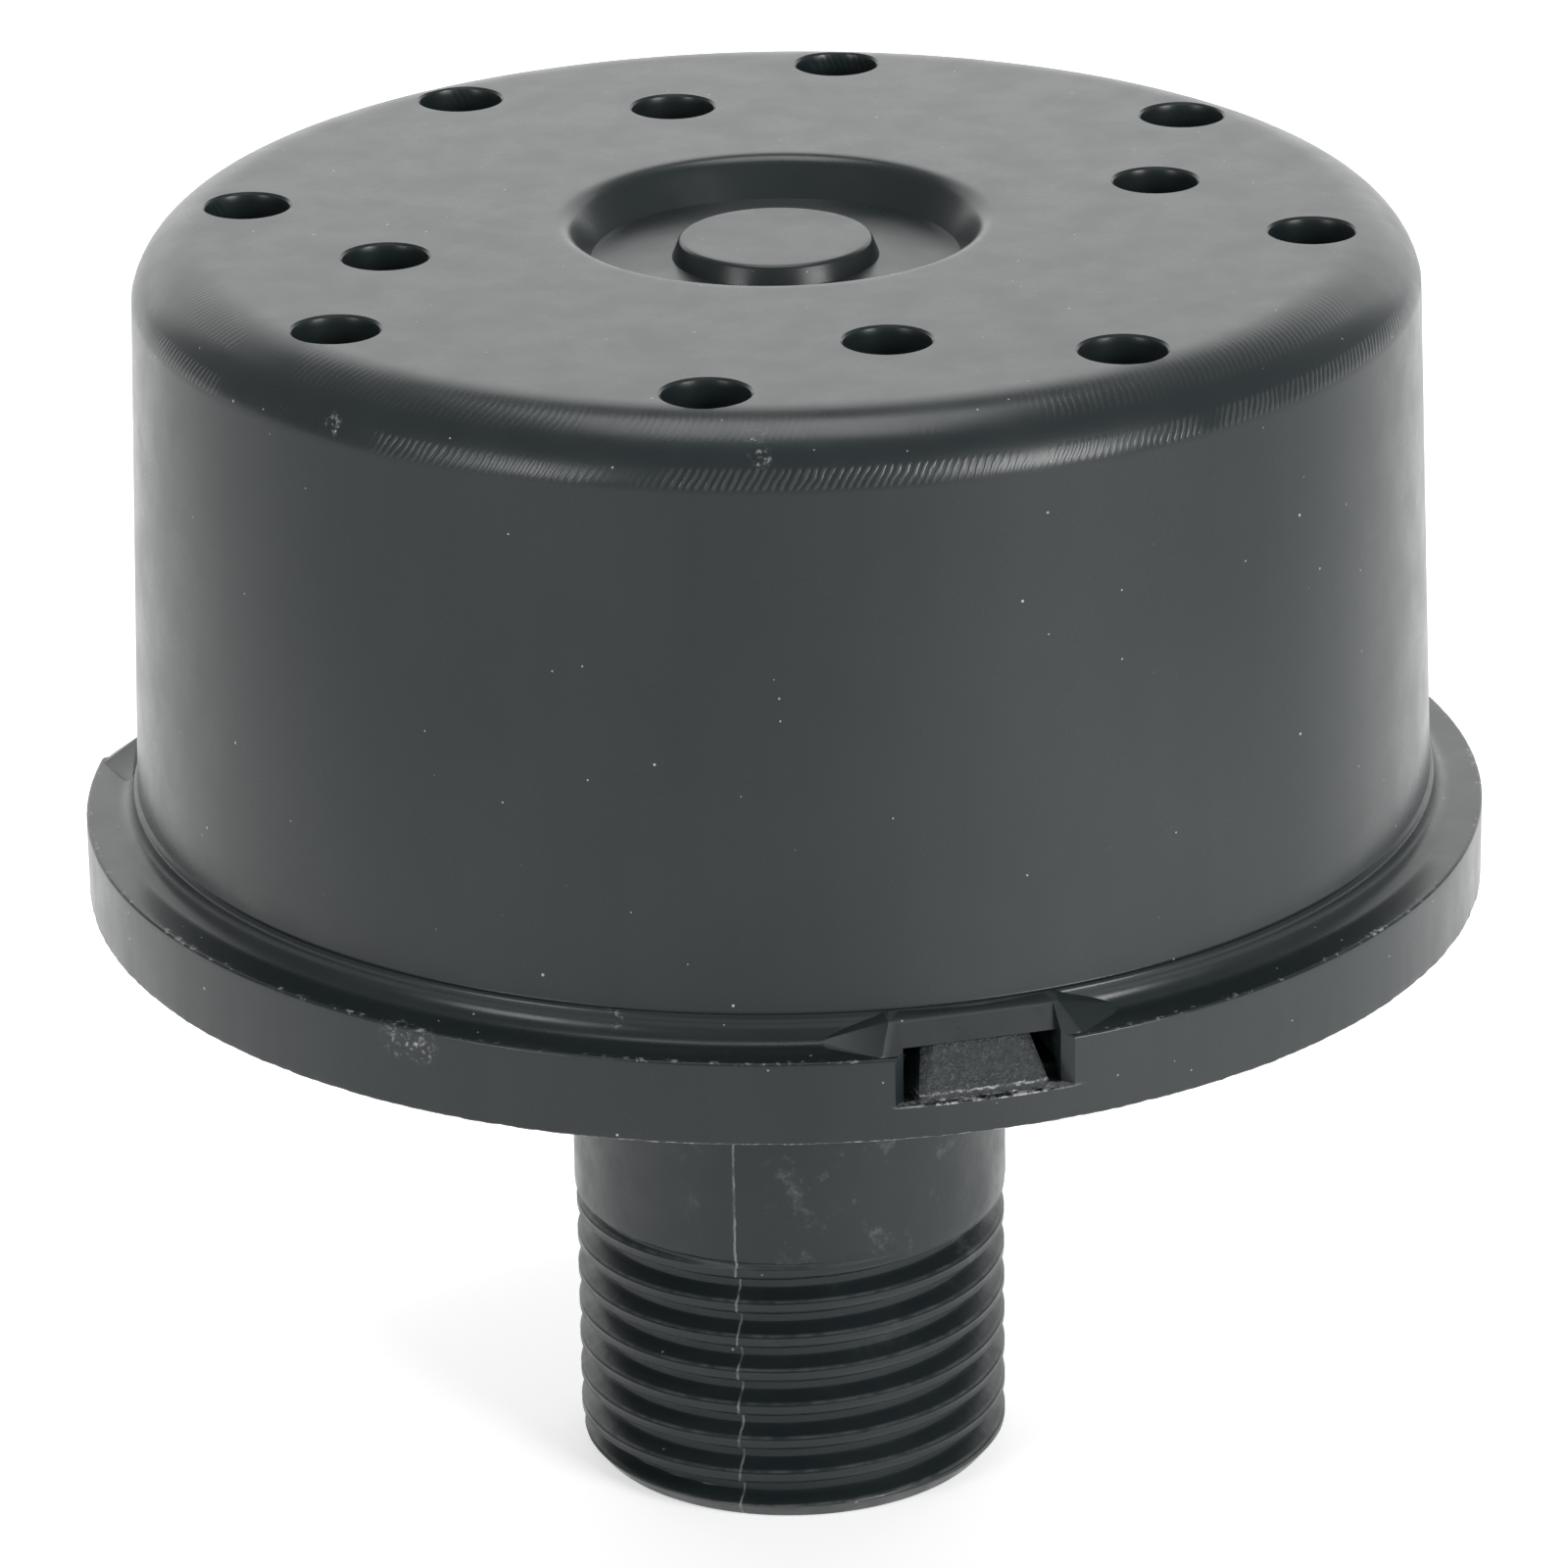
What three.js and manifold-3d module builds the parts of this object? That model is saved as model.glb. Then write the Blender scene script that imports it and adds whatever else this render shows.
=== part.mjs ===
// Intake filter silencer for a small air compressor: a moulded cup with inlet holes in
// its crown snaps over a round base, and a pleated filter element stands between them.
// The base ends in a threaded spigot that screws into the compressor's inlet.
//
// Millimetres, +Z up. The origin is the centre of the spigot's lower end face, and one
// of the three snap windows faces -Y.

import * as THREE from 'three';
import { ConvexGeometry } from 'three/addons/geometries/ConvexGeometry.js';
import { mergeVertices } from 'three/addons/utils/BufferGeometryUtils.js';
import Module from 'manifold-3d';

const wasm = await Module();
wasm.setup();

// ---- driving dimensions ----------------------------------------------------------

const gap = 0.3; // between pieces that touch on the real object
const overcut = 1; // how far a cutter runs past the face it cuts
const roundSteps = 48; // facets round the large bodies
const quarterTurn = Math.PI / 2;
const fullTurn = Math.PI * 2;

const spigot = {
  radius: 10.55,
  boreRadius: 7.6,
  endRadius: 9.8,
  endChamfer: 0.9,
  rootFillet: 0.6,
  steps: 32,
};

// G 1/2 pipe thread, moulded shallow: valley centre at height `phaseHeight` where the
// helix passes `phaseAngle`.
const thread = {
  crestRadius: 10.48,
  depth: 0.9,
  pitch: 1.814,
  rootFlat: 0.3,
  flankAngle: THREE.MathUtils.degToRad(27.5),
  lowestValley: 1.2,
  highestValley: 12.9,
  phaseHeight: 8.06,
  phaseAngle: THREE.MathUtils.degToRad(164.74),
  leadInTurns: 0.15,
  runOutTurns: 0.3,
};

const skirt = { radius: 33.45, innerRadius: 31.9, bottom: 30.5, top: 34.45 };
const collar = { radius: 31.1, top: 35.8 }; // low step where the wall meets the skirt
const wall = { footRadius: 30.9, headRadius: 30.1, thickness: 1.8 };
const crown = { top: 62.8, filletRadius: 3.4, thickness: 2 };
const recess = { rimRadius: 9.6, floorRadius: 8.75, depth: 1.8 };
const boss = { footRadius: 4.85, topRadius: 4.7, height: 1.1, chamfer: 0.25 };

const inletHole = { radius: 1.95, sides: 12 };
const outerHoles = { count: 8, circleRadius: 25.03, firstAngle: -quarterTurn + fullTurn / 16 };
const innerHoles = { count: 4, circleRadius: 18.65, firstAngle: -quarterTurn };

const snapCount = 3;
const firstSnapAngle = -quarterTurn;
const snapWindow = { sill: 32.1, outerWidth: 9, innerWidth: 7.3, innerReach: 28.5 };

// The raised frame of a snap window. Its roof leans up to the wall, its brow slopes down
// to the lip over the opening, and a cheek on either side runs down to the skirt's rim.
const hood = {
  rootRadius: 30.3,
  rootTop: 35.8,
  rootWidth: 12.9,
  roofWidth: 8.6,
  browRadius: 31.5,
  browTop: 35.45,
  browWidth: 8,
  lipRadius: 32.3,
  lipTop: 34.6,
  rimRadius: 33.3,
  rimWidth: 9.4,
  rimTopWidth: 9,
};
const hook = {
  innerRadius: 30.2,
  stemRadius: 31.6,
  toothRadius: 33.2,
  tipRadius: 32,
  width: 6,
  tipWidth: 4.35,
  landHeight: 0.35,
  travel: 1.45,
};

const disc = { radius: 31.6, top: 32.5 };
const outlet = { top: 37 }; // the spigot's tube goes on up, inside the element
const gasket = { innerRadius: 11, outerRadius: 24, thickness: 1.2 };

const element = { sheet: 0.6, rimRadius: 27.1, rimHeight: 3, boreRadius: 11, steps: 48 };
const core = { innerRadius: 13.4, outerRadius: 14, steps: 32 };
const coreHoles = { radius: 2, sides: 6, rows: 4, perRow: 8 };
const paper = { outerRadius: 26.2, innerRadius: 14.5, foldDepth: 3.3, pleats: 36 };

// Heights that follow from the ones above.
const crownUnderside = crown.top - crown.thickness;
const recessFloor = crown.top - recess.depth;
const recessUnderside = recessFloor - wall.thickness;
const ledge = disc.top + 0.4; // the cover's inner step stands on the base disc
const gasketBottom = disc.top + gap;
const lowerCapBottom = gasketBottom + gasket.thickness + gap;
const upperCapTop = recessUnderside - gap;
const mediaBottom = lowerCapBottom + element.sheet + gap;
const mediaTop = upperCapTop - element.sheet - gap;

// ---- materials -------------------------------------------------------------------

function satinPlastic() {
  return new THREE.MeshStandardMaterial({ color: 0x3a3e40, roughness: 0.5, metalness: 0 });
}

function zincSteel() {
  return new THREE.MeshStandardMaterial({ color: 0xb4b6b4, roughness: 0.35, metalness: 1 });
}

function filterPaper() {
  return new THREE.MeshStandardMaterial({ color: 0xe3d9bd, roughness: 0.95, metalness: 0 });
}

function blackRubber() {
  return new THREE.MeshStandardMaterial({ color: 0x1c1c1c, roughness: 0.8, metalness: 0 });
}

// ---- solids ----------------------------------------------------------------------

// A closed three.js geometry as a solid that can be joined and cut.
function solidOf(geometry) {
  geometry.deleteAttribute('normal');
  geometry.deleteAttribute('uv');
  const merged = mergeVertices(geometry);
  const corners = merged.index.array;
  const triangles = [];
  for (let i = 0; i < corners.length; i += 3) {
    const [a, b, c] = [corners[i], corners[i + 1], corners[i + 2]];
    if (a !== b && b !== c && c !== a) triangles.push(a, b, c);
  }
  return new wasm.Manifold(new wasm.Mesh({
    numProp: 3,
    vertProperties: new Float32Array(merged.attributes.position.array),
    triVerts: new Uint32Array(triangles),
  }));
}

function namedMesh(name, solid, material) {
  const { vertProperties, triVerts } = solid.getMesh();
  const geometry = new THREE.BufferGeometry();
  geometry.setAttribute('position', new THREE.BufferAttribute(vertProperties, 3));
  geometry.setIndex(new THREE.BufferAttribute(triVerts, 1));
  geometry.computeVertexNormals();
  const mesh = new THREE.Mesh(geometry, material);
  mesh.name = name;
  return mesh;
}

// Turns an outline of (radius, height) points about the Z axis. The outline runs up
// its outer side; it starts and ends on the axis or closes on itself.
function turned(outline, steps) {
  const arcSteps = 2; // a quarter of a circle takes twice as many facets
  const geometry = new THREE.LatheGeometry(outline.getPoints(arcSteps), steps);
  geometry.rotateX(quarterTurn);
  return solidOf(geometry);
}

function outlineOf(corners) {
  const outline = new THREE.Path();
  outline.setFromPoints(corners.map(([radius, height]) => new THREE.Vector2(radius, height)));
  return outline;
}

function closedOutlineOf(corners) {
  return outlineOf([...corners, corners[0]]);
}

function extruded(shape, bottom, top) {
  const options = { depth: top - bottom, bevelEnabled: false, curveSegments: 4 };
  const geometry = new THREE.ExtrudeGeometry(shape, options);
  geometry.translate(0, 0, bottom);
  return solidOf(geometry);
}

// A round bar along +Z at a distance and angle from the axis.
function uprightBar(radius, sides, bottom, top, distance, angle) {
  const geometry = new THREE.CylinderGeometry(radius, radius, top - bottom, sides);
  geometry.rotateX(quarterTurn);
  geometry.translate(distance * Math.cos(angle), distance * Math.sin(angle), (top + bottom) / 2);
  return solidOf(geometry);
}

function turnedBy(solid, angle) {
  return solid.rotate([0, 0, THREE.MathUtils.radToDeg(angle)]);
}

function snapAngle(index) {
  return firstSnapAngle + (index * fullTurn) / snapCount;
}

// ---- cover -----------------------------------------------------------------------

function coverShell() {
  const innerHeadRadius = wall.headRadius - wall.thickness;
  const innerFootRadius = wall.footRadius - wall.thickness;
  const innerFillet = crown.filletRadius - wall.thickness;
  const recessWallSlope = 0.8;
  const collarFillet = 0.4;
  const outline = new THREE.Path();
  outline.moveTo(0, recessUnderside);
  outline.lineTo(recess.rimRadius + recessWallSlope, recessUnderside);
  outline.lineTo(recess.rimRadius + 2 * recessWallSlope, crownUnderside);
  const innerArcHeight = crownUnderside - innerFillet;
  outline.absarc(innerHeadRadius - innerFillet, innerArcHeight, innerFillet, quarterTurn, 0, true);
  outline.lineTo(innerFootRadius, ledge);
  outline.lineTo(skirt.innerRadius, ledge);
  outline.lineTo(skirt.innerRadius, skirt.bottom);
  outline.lineTo(skirt.radius, skirt.bottom);
  outline.lineTo(skirt.radius, skirt.top);
  outline.lineTo(collar.radius + collarFillet, skirt.top);
  outline.lineTo(collar.radius, skirt.top + collarFillet);
  outline.lineTo(collar.radius, collar.top);
  outline.lineTo(wall.footRadius, collar.top);
  const outerArcHeight = crown.top - crown.filletRadius;
  outline.absarc(wall.headRadius - crown.filletRadius, outerArcHeight, crown.filletRadius, 0, quarterTurn);
  outline.lineTo(recess.rimRadius, crown.top);
  outline.lineTo(recess.floorRadius, recessFloor);
  outline.lineTo(boss.footRadius, recessFloor);
  outline.lineTo(boss.topRadius, recessFloor + boss.height - boss.chamfer);
  outline.lineTo(boss.topRadius - boss.chamfer, recessFloor + boss.height);
  outline.lineTo(0, recessFloor + boss.height);
  return turned(outline, roundSteps);
}

function inletHoles({ count, circleRadius, firstAngle }) {
  const bars = [];
  const bottom = crownUnderside - 2 * overcut;
  const top = crown.top + overcut;
  for (let i = 0; i < count; i += 1) {
    const angle = firstAngle + (i * fullTurn) / count;
    bars.push(uprightBar(inletHole.radius, inletHole.sides, bottom, top, circleRadius, angle));
  }
  return bars;
}

// The raised frame of a snap window before its opening is cut, on the +X side of the axis.
function windowHood() {
  const foot = skirt.top - gap;
  const rows = [
    [hood.rootRadius, foot, hood.rootWidth],
    [hood.rimRadius, foot, hood.rimWidth],
    [hood.rimRadius, skirt.top, hood.rimTopWidth],
    [hood.browRadius, hood.browTop, hood.browWidth],
    [hood.rootRadius, hood.rootTop, hood.roofWidth],
  ];
  const corners = rows.flatMap(([radius, height, width]) => [
    new THREE.Vector3(radius, -width / 2, height),
    new THREE.Vector3(radius, width / 2, height),
  ]);
  return solidOf(new ConvexGeometry(corners));
}

// The cutter of a snap window, on the +X side of the axis. Seen from above it flares
// outwards, and seen from the side it passes through the wall under the frame's lip and
// is open at the top outside the brow.
function windowCutter() {
  const flareRadius = skirt.innerRadius;
  const outerReach = skirt.radius + overcut;
  const flare = (snapWindow.outerWidth - snapWindow.innerWidth) / 2 / (skirt.radius - flareRadius);
  const innerHalf = snapWindow.innerWidth / 2;
  const outerHalf = innerHalf + flare * (outerReach - flareRadius);
  const plan = new THREE.Shape();
  plan.moveTo(snapWindow.innerReach, -innerHalf);
  plan.lineTo(flareRadius, -innerHalf);
  plan.lineTo(outerReach, -outerHalf);
  plan.lineTo(outerReach, outerHalf);
  plan.lineTo(flareRadius, innerHalf);
  plan.lineTo(snapWindow.innerReach, innerHalf);
  plan.closePath();

  const top = hood.rootTop + overcut;
  const side = new THREE.Shape();
  side.moveTo(snapWindow.innerReach, snapWindow.sill);
  side.lineTo(outerReach, snapWindow.sill);
  side.lineTo(outerReach, top);
  side.lineTo(hood.browRadius, top);
  side.lineTo(hood.browRadius, hood.browTop - gap);
  side.lineTo(hood.lipRadius, hood.lipTop);
  side.lineTo(hood.lipRadius, skirt.top);
  side.lineTo(snapWindow.innerReach, skirt.top);
  side.closePath();
  const sideView = extruded(side, -outerHalf, outerHalf).rotate([90, 0, 0]);
  return extruded(plan, snapWindow.sill, top).intersect(sideView);
}

function buildCover() {
  let solid = coverShell();
  for (let i = 0; i < snapCount; i += 1) {
    solid = solid.add(turnedBy(windowHood(), snapAngle(i)));
    solid = solid.subtract(turnedBy(windowCutter(), snapAngle(i)));
  }
  for (const bar of [...inletHoles(outerHoles), ...inletHoles(innerHoles)]) {
    solid = solid.subtract(bar);
  }
  return namedMesh('cover', solid, satinPlastic());
}

// ---- base ------------------------------------------------------------------------

function threadedTube() {
  const outline = new THREE.Path();
  outline.moveTo(spigot.boreRadius, 0);
  outline.lineTo(spigot.endRadius, 0);
  outline.lineTo(thread.crestRadius, spigot.endChamfer);
  outline.lineTo(thread.crestRadius, thread.highestValley);
  outline.lineTo(spigot.radius, thread.highestValley + thread.pitch / 2);
  const filletRadius = spigot.rootFillet;
  const filletHeight = skirt.bottom - filletRadius;
  outline.absarc(spigot.radius + filletRadius, filletHeight, filletRadius, Math.PI, quarterTurn, true);
  outline.lineTo(spigot.radius, disc.top);
  outline.lineTo(spigot.radius, outlet.top);
  outline.lineTo(spigot.boreRadius, outlet.top);
  outline.lineTo(spigot.boreRadius, 0);
  return turned(outline, spigot.steps).subtract(threadGroove());
}

function baseDisc() {
  const insideTubeWall = (spigot.boreRadius + spigot.radius) / 2;
  return turned(closedOutlineOf([
    [insideTubeWall, skirt.bottom],
    [disc.radius, skirt.bottom],
    [disc.radius, disc.top],
    [insideTubeWall, disc.top],
  ]), roundSteps);
}

// The thread's groove: a four-sided section swept along a right-hand helix. It fades
// in at the lower end and out at the upper end, and each of its sections stands midway
// between two corners of the faceted tube.
function threadGroove() {
  const rootRadius = thread.crestRadius - thread.depth;
  const outside = 0.4; // the section stands this far out of the crest
  const facetAt = (valley) => Math.round(
    ((valley - thread.phaseHeight) / thread.pitch + thread.phaseAngle / fullTurn) * spigot.steps,
  );
  const firstFacet = facetAt(thread.lowestValley);
  const lastFacet = facetAt(thread.highestValley);
  const positions = [];
  for (let facet = firstFacet; facet <= lastFacet; facet += 1) {
    const angle = ((facet + 0.5) * fullTurn) / spigot.steps;
    const valley = thread.phaseHeight + (thread.pitch * (angle - thread.phaseAngle)) / fullTurn;
    const fadeIn = (facet - firstFacet) / spigot.steps / thread.leadInTurns;
    const fadeOut = (lastFacet - facet) / spigot.steps / thread.runOutTurns;
    const shift = (1 - Math.min(1, fadeIn, fadeOut)) * (thread.depth + outside / 2);
    const outerHalf = thread.rootFlat / 2 + (thread.depth + outside - shift) * Math.tan(thread.flankAngle);
    const section = [
      [rootRadius + shift, -thread.rootFlat / 2],
      [thread.crestRadius + outside, -outerHalf],
      [thread.crestRadius + outside, outerHalf],
      [rootRadius + shift, thread.rootFlat / 2],
    ];
    for (const [radius, height] of section) {
      positions.push(radius * Math.cos(angle), radius * Math.sin(angle), valley + height);
    }
  }
  const sides = 4;
  const last = (lastFacet - firstFacet) * sides;
  const indices = [0, 1, 2, 0, 2, 3, last, last + 2, last + 1, last, last + 3, last + 2];
  for (let start = 0; start < last; start += sides) {
    for (let side = 0; side < sides; side += 1) {
      const a = start + side;
      const b = start + ((side + 1) % sides);
      indices.push(a, b + sides, b, a, a + sides, b + sides);
    }
  }
  const geometry = new THREE.BufferGeometry();
  geometry.setAttribute('position', new THREE.Float32BufferAttribute(positions, 3));
  geometry.setIndex(indices);
  return solidOf(geometry);
}

// The slot in the disc's edge that a snap hook stands and bends in, on the +X side.
function hookSlot() {
  const slotInnerRadius = hook.innerRadius - hook.travel - gap;
  const slotWidth = hook.width + 2 * gap;
  const length = disc.radius + overcut - slotInnerRadius;
  const geometry = new THREE.BoxGeometry(length, slotWidth, disc.top - skirt.bottom + 2 * overcut);
  geometry.translate(slotInnerRadius + length / 2, 0, (disc.top + skirt.bottom) / 2);
  return solidOf(geometry);
}

function buildBase() {
  let solid = threadedTube().add(baseDisc());
  for (let i = 0; i < snapCount; i += 1) {
    solid = solid.subtract(turnedBy(hookSlot(), snapAngle(i)));
  }
  return namedMesh('base', solid, satinPlastic());
}

// ---- snap hooks ------------------------------------------------------------------

// A stem inside the skirt with a tooth that reaches out through the window. The side
// view and the front view of the hook are both extruded, and the hook is what they share.
function buildHook(index) {
  const toothBottom = snapWindow.sill + gap;
  const landTop = toothBottom + hook.landHeight;
  const tip = skirt.top - gap;
  const side = new THREE.Shape();
  side.moveTo(hook.innerRadius, skirt.bottom);
  side.lineTo(hook.stemRadius, skirt.bottom);
  side.lineTo(hook.stemRadius, toothBottom);
  side.lineTo(hook.toothRadius, toothBottom);
  side.lineTo(hook.toothRadius, landTop);
  side.lineTo(hook.tipRadius, tip);
  side.lineTo(hook.innerRadius, tip);
  side.closePath();
  const sideView = extruded(side, -hook.width / 2, hook.width / 2).rotate([90, 0, 0]);

  const front = new THREE.Shape();
  front.moveTo(-hook.width / 2, skirt.bottom - overcut);
  front.lineTo(hook.width / 2, skirt.bottom - overcut);
  front.lineTo(hook.width / 2, landTop);
  front.lineTo(hook.tipWidth / 2, tip);
  front.lineTo(-hook.tipWidth / 2, tip);
  front.lineTo(-hook.width / 2, landTop);
  front.closePath();
  const frontView = extruded(front, 0, skirt.radius).rotate([90, 0, 90]);

  const solid = turnedBy(sideView.intersect(frontView), snapAngle(index));
  return namedMesh(`snap_hook_${index + 1}`, solid, satinPlastic());
}

// ---- gasket and filter element -----------------------------------------------------

function buildGasket() {
  const outline = closedOutlineOf([
    [gasket.innerRadius, gasketBottom],
    [gasket.outerRadius, gasketBottom],
    [gasket.outerRadius, gasketBottom + gasket.thickness],
    [gasket.innerRadius, gasketBottom + gasket.thickness],
  ]);
  return namedMesh('base_gasket', turned(outline, element.steps), blackRubber());
}

// A pressed ring with its outer edge turned up round the paper.
function buildLowerCap() {
  const sheetTop = lowerCapBottom + element.sheet;
  const rimTop = lowerCapBottom + element.rimHeight;
  const outline = closedOutlineOf([
    [element.boreRadius, lowerCapBottom],
    [element.rimRadius, lowerCapBottom],
    [element.rimRadius, rimTop],
    [element.rimRadius - element.sheet, rimTop],
    [element.rimRadius - element.sheet, sheetTop],
    [element.boreRadius, sheetTop],
  ]);
  return namedMesh('element_lower_cap', turned(outline, element.steps), zincSteel());
}

// The same pressing without the bore, upside down: it closes the element's top.
function buildUpperCap() {
  const sheetBottom = upperCapTop - element.sheet;
  const rimBottom = upperCapTop - element.rimHeight;
  const outline = outlineOf([
    [0, sheetBottom],
    [element.rimRadius - element.sheet, sheetBottom],
    [element.rimRadius - element.sheet, rimBottom],
    [element.rimRadius, rimBottom],
    [element.rimRadius, upperCapTop],
    [0, upperCapTop],
  ]);
  return namedMesh('element_upper_cap', turned(outline, element.steps), zincSteel());
}

// A zigzag ring whose corners lie on two circles in turn.
function zigzag(path, outerRadius, innerRadius) {
  for (let corner = 0; corner < 2 * paper.pleats; corner += 1) {
    const angle = (corner * fullTurn) / (2 * paper.pleats);
    const radius = corner % 2 === 0 ? outerRadius : innerRadius;
    const point = [radius * Math.cos(angle), radius * Math.sin(angle)];
    if (corner === 0) path.moveTo(...point);
    else path.lineTo(...point);
  }
  path.closePath();
  return path;
}

function buildPaper() {
  const shape = zigzag(new THREE.Shape(), paper.outerRadius, paper.innerRadius + paper.foldDepth);
  shape.holes.push(zigzag(new THREE.Path(), paper.outerRadius - paper.foldDepth, paper.innerRadius));
  return namedMesh('element_paper', extruded(shape, mediaBottom, mediaTop), filterPaper());
}

// The perforated tube that keeps the paper from being sucked in.
function buildCore() {
  const outline = closedOutlineOf([
    [core.innerRadius, mediaBottom],
    [core.outerRadius, mediaBottom],
    [core.outerRadius, mediaTop],
    [core.innerRadius, mediaTop],
  ]);
  let solid = turned(outline, core.steps);
  const rowSpacing = (mediaTop - mediaBottom) / coreHoles.rows;
  for (let row = 0; row < coreHoles.rows; row += 1) {
    const height = mediaBottom + (row + 0.5) * rowSpacing;
    const stagger = (row % 2) * (fullTurn / coreHoles.perRow / 2);
    for (let pair = 0; pair < coreHoles.perRow / 2; pair += 1) {
      const length = 2 * (core.outerRadius + overcut);
      const bar = new THREE.CylinderGeometry(coreHoles.radius, coreHoles.radius, length, coreHoles.sides);
      bar.rotateZ(quarterTurn);
      bar.rotateZ(stagger + (pair * fullTurn) / coreHoles.perRow);
      bar.translate(0, 0, height);
      solid = solid.subtract(solidOf(bar));
    }
  }
  return namedMesh('element_core', solid, zincSteel());
}

// ---- assembly ----------------------------------------------------------------------

const group = new THREE.Group();
group.add(buildBase(), buildGasket());
for (let i = 0; i < snapCount; i += 1) {
  group.add(buildHook(i));
}
group.add(buildLowerCap(), buildPaper(), buildCore(), buildUpperCap());
group.add(buildCover());

export default group;
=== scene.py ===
"""Looks of the intake filter silencer: a detailed mesh and a material for each CAD piece.

Shapes are worked out in millimetres in the CAD frame and scaled to metres when a mesh is
made. Angles are in radians, anticlockwise from +X seen from above.
"""

import math

import bmesh
import bpy
from mathutils import Matrix, Vector, noise


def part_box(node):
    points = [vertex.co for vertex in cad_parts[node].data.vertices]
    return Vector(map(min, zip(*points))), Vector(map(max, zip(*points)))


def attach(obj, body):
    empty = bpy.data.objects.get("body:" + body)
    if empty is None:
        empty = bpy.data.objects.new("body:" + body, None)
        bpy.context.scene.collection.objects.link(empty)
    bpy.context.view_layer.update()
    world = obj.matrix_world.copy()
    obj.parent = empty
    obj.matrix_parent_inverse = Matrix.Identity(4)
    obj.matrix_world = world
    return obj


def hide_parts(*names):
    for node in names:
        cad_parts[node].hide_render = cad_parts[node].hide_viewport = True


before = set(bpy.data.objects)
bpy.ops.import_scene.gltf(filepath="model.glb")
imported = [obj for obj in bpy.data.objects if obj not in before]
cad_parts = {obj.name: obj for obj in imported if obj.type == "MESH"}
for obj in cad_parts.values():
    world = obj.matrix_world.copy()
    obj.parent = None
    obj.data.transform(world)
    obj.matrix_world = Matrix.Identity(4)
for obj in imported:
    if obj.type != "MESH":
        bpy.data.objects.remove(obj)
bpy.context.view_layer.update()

# ---- driving dimensions, from the frame ---------------------------------------------

MM = 0.001  # metres in a millimetre
FULL_TURN = 2 * math.pi


def box_in_mm(node):
    """The lowest and the highest corner of a CAD node."""
    low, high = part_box(node)
    return low / MM, high / MM


cover_low, cover_high = box_in_mm("cover")
base_high = box_in_mm("base")[1]
hook_low, hook_high = box_in_mm("snap_hook_1")
gasket_low, gasket_high = box_in_mm("base_gasket")
lower_cap_low, lower_cap_high = box_in_mm("element_lower_cap")
upper_cap_low, upper_cap_high = box_in_mm("element_upper_cap")
core_low, core_high = box_in_mm("element_core")

SNAP_COUNT = 3
FIRST_SNAP = -FULL_TURN / 4
SNAP_ANGLES = [FIRST_SNAP + index * FULL_TURN / SNAP_COUNT for index in range(SNAP_COUNT)]
HOOK_PLAY = math.radians(-0.1)  # the base has turned a little in the cover

SKIRT_RADIUS = cover_high.x
SKIRT_BOTTOM = cover_low.z
SKIRT_TOP = SKIRT_BOTTOM + 3.95
SKIRT_INSIDE = SKIRT_RADIUS - 1.55
COLLAR_RADIUS = SKIRT_RADIUS - 2.35
COLLAR_TOP = SKIRT_TOP + 1.35
WALL_FOOT = COLLAR_RADIUS - 0.2
WALL_HEAD = WALL_FOOT - 0.8
WALL_THICKNESS = 1.8
CROWN_TOP = cover_high.z
WALL_TOP = CROWN_TOP - 2.7  # where the wall meets the crown's fillet, at a faint edge
CROWN_FILLET = 3.6
CROWN_UNDERSIDE = CROWN_TOP - 2
RECESS_RIM = 9.78
RECESS_FLOOR_RADIUS = 8.65
RECESS_FLOOR = CROWN_TOP - 1.8
RECESS_UNDERSIDE = RECESS_FLOOR - WALL_THICKNESS
BOSS_RADIUS = 4.85
BOSS_TOP = RECESS_FLOOR + 0.9

HOLE_RADIUS = 1.95
OUTER_HOLES = {"count": 8, "circle": 25.03, "first": -FULL_TURN * 3 / 16}
INNER_HOLES = {"count": 4, "circle": 18.65, "first": -FULL_TURN / 4}

SILL = SKIRT_BOTTOM + 1.6  # the lower edge of a snap window
WINDOW_HALF = 3.65
BROW_RADIUS = 31.5
BROW_TOP = SKIRT_TOP + 1
LIP_RADIUS = 32.3
FLARE_START = LIP_RADIUS + 0.35
FLARE = 1.05  # how fast a window widens from there outwards

DISC_RADIUS = SKIRT_INSIDE - 0.3
DISC_TOP = SKIRT_BOTTOM + 2
LEDGE = DISC_TOP + 0.4

SPIGOT_RADIUS = 10.55
BORE_RADIUS = 7.6
SPIGOT_END_RADIUS = 9.8
THREAD_CREST = 10.48
THREAD_DEPTH = 0.9
THREAD_PITCH = 1.814
THREAD_TOP = 14.05
VALLEY_HEIGHT = 8.3  # one valley of the thread passes this height
VALLEY_ANGLE = math.radians(164.74)  # at this angle
SEAM_ANGLES = [math.radians(-120), math.radians(60)]

COLUMNS = 720  # columns round the large turned pieces
SPIGOT_COLUMNS = 240
ROWS_PER_PITCH = 30  # rows of the mesh in one turn of the thread


# ---- mesh helpers ----------------------------------------------------------------------


def around(angle, distance, height):
    """A place at an angle in degrees and a distance from the axis, in the height's unit."""
    turn = math.radians(angle)
    return (distance * math.cos(turn), distance * math.sin(turn), height)


def at(radius, angle, height):
    """A point in metres, from millimetres and an angle round the axis."""
    return Vector((radius * math.cos(angle), radius * math.sin(angle), height)) * MM


def wavering(position, scale, seed):
    """Smooth noise of about -1 to 1, at a place in metres, with `scale` waves per mm."""
    return noise.noise(position / MM * scale + Vector((seed, seed, seed)))


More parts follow.
